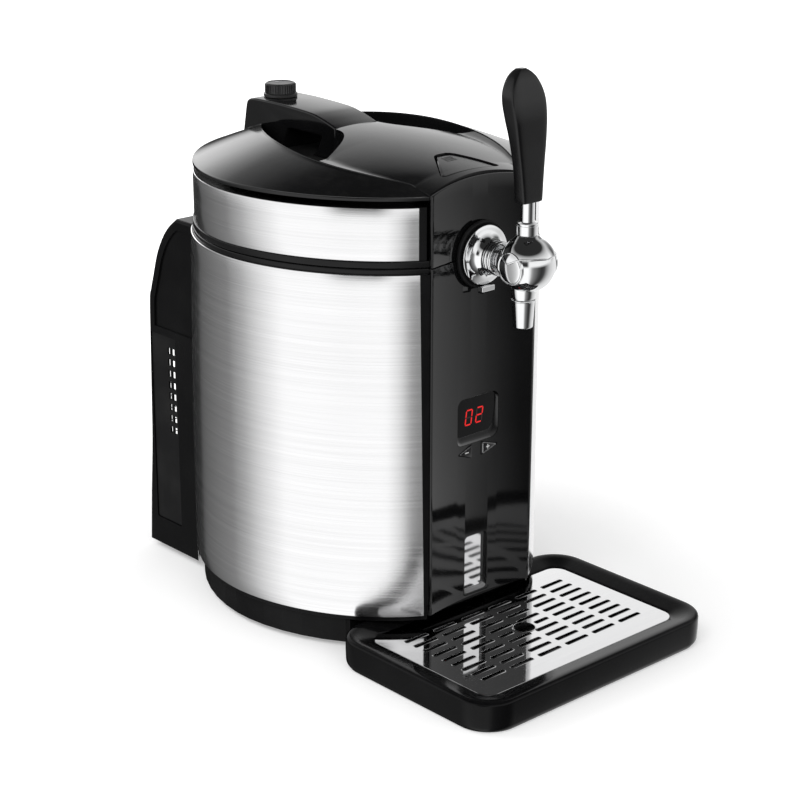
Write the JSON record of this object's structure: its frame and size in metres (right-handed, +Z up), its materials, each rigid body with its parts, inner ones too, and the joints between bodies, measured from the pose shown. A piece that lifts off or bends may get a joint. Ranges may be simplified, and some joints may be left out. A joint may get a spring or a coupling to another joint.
{
  "type": "mini keg beer dispenser",
  "caption": "Countertop beer cooler for a small keg, with a domed hinged lid, front tap with lever, temperature display, and a pull-out drip tray.",
  "frame": {"origin": "middle of the whole footprint, on the surface the dispenser stands on", "axes": "+Z up, -Y towards the tap and drip tray, +X to the right seen from the front"},
  "size_m": [0.2698, 0.457, 0.4575],
  "materials": {
    "brushed_steel": "horizontally brushed sheet",
    "mirror_steel": "mirror-polished sheet",
    "chrome": "bright chrome plating",
    "gloss_black": "high gloss moulding",
    "satin_black": "satin moulding",
    "matt_black": "matt moulding",
    "rubber": "soft matt",
    "foam": "off-white insulation and liner",
    "aluminium": "plain",
    "smoked_window": "smoked gloss window",
    "circuit_green": "circuit board",
    "led_red": "red seven-segment module",
    "ceramic": "white ceramic",
    "clear_hose": "clear hose"
  },
  "bodies": {
    "cabinet": {"base_plinth": "satin_black", "rubber_foot_front_left": "rubber", "rubber_foot_front_right": "rubber", "rubber_foot_rear_left": "rubber", "rubber_foot_rear_right": "rubber", "steel_wrap_left": "brushed_steel", "steel_wrap_right": "brushed_steel", "back_panel": "satin_black", "keg_well": "aluminium", "foam_sleeve": "foam", "top_deck": "gloss_black", "lid_gasket": "rubber", "front_column": "gloss_black", "front_panel": "gloss_black", "display_window": "smoked_window", "led_display": "led_red", "control_board": "circuit_green", "polished_insert": "mirror_steel", "rear_housing": "satin_black", "side_vent_left": "matt_black", "side_vent_right": "matt_black", "rear_grille": "matt_black", "cold_block": "aluminium", "thermoelectric_module": "ceramic", "heat_sink": "aluminium", "fan_frame": "matt_black", "power_board": "circuit_green", "power_inlet": "matt_black", "tap_seat": "satin_black", "tap_flange": "chrome", "tap_collar_nut": "chrome", "tap_lock_nut": "chrome", "tap_tab": "chrome", "tap_shank": "chrome", "tap_body": "chrome", "tap_nozzle": "chrome", "beer_line": "clear_hose", "keg_connector": "satin_black", "hinge_bracket": "satin_black", "hinge_pin": "chrome"},
    "lid": {"lid_shell": "gloss_black", "lid_band": "brushed_steel", "lid_liner": "foam", "lid_front": "gloss_black", "lid_lobe_left": "gloss_black", "lid_lobe_right": "gloss_black", "lid_spine": "gloss_black", "lid_floor": "satin_black", "bridge_handle": "gloss_black", "pressure_regulator": "aluminium"},
    "tap_lever": {"tap_bonnet": "chrome", "lever_stem": "chrome", "lever_handle": "satin_black"},
    "lid_release": {"release_button": "satin_black"},
    "gas_knob": {"regulator_knob": "satin_black"},
    "minus_key": {"minus_button": "gloss_black"},
    "plus_key": {"plus_button": "gloss_black"},
    "tray": {"drip_tray": "gloss_black"},
    "tray_cover": {"tray_plate": "mirror_steel"},
    "fan": {"fan_rotor": "matt_black"}
  },
  "joints": [
    {"name": "lid_hinge", "type": "hinge", "parent": "cabinet", "child": "lid", "pos_m": [0, 0.199, 0.3145], "axis": [-1, 0, 0], "range_deg": [0, 75]},
    {"name": "tap_lever_pivot", "type": "hinge", "parent": "cabinet", "child": "tap_lever", "pos_m": [0, -0.138, 0.3128], "axis": [1, 0, 0], "range_deg": [0, 40]},
    {"name": "lid_release_rock", "type": "hinge", "parent": "lid", "child": "lid_release", "pos_m": [0, -0.044, 0.374], "axis": [1, 0, 0], "range_deg": [0, 4], "stiffness_Nm_per_rad": 0.3, "springref_deg": -5.73},
    {"name": "gas_knob_turn", "type": "hinge", "parent": "lid", "child": "gas_knob", "pos_m": [0, 0.149, 0.4], "axis": [0, 0, 1], "range_deg": [0, 270]},
    {"name": "minus_key_press", "type": "slide", "parent": "cabinet", "child": "minus_key", "axis": [0, 1, 0], "range_m": [0, 0.001], "stiffness_N_per_m": 300, "springref_m": -0.0005},
    {"name": "plus_key_press", "type": "slide", "parent": "cabinet", "child": "plus_key", "axis": [0, 1, 0], "range_m": [0, 0.001], "stiffness_N_per_m": 300, "springref_m": -0.0005},
    {"name": "drip_tray_slide", "type": "slide", "parent": "cabinet", "child": "tray", "axis": [0, -1, 0], "range_m": [0, 0.12]},
    {"name": "tray_plate_lift", "type": "slide", "parent": "tray", "child": "tray_cover", "axis": [0, 0, 1], "range_m": [0, 0.0045]},
    {"name": "fan_spin", "type": "hinge", "parent": "cabinet", "child": "fan", "pos_m": [0, 0.193, 0.145], "axis": [0, 1, 0], "continuous": true}
  ]
}
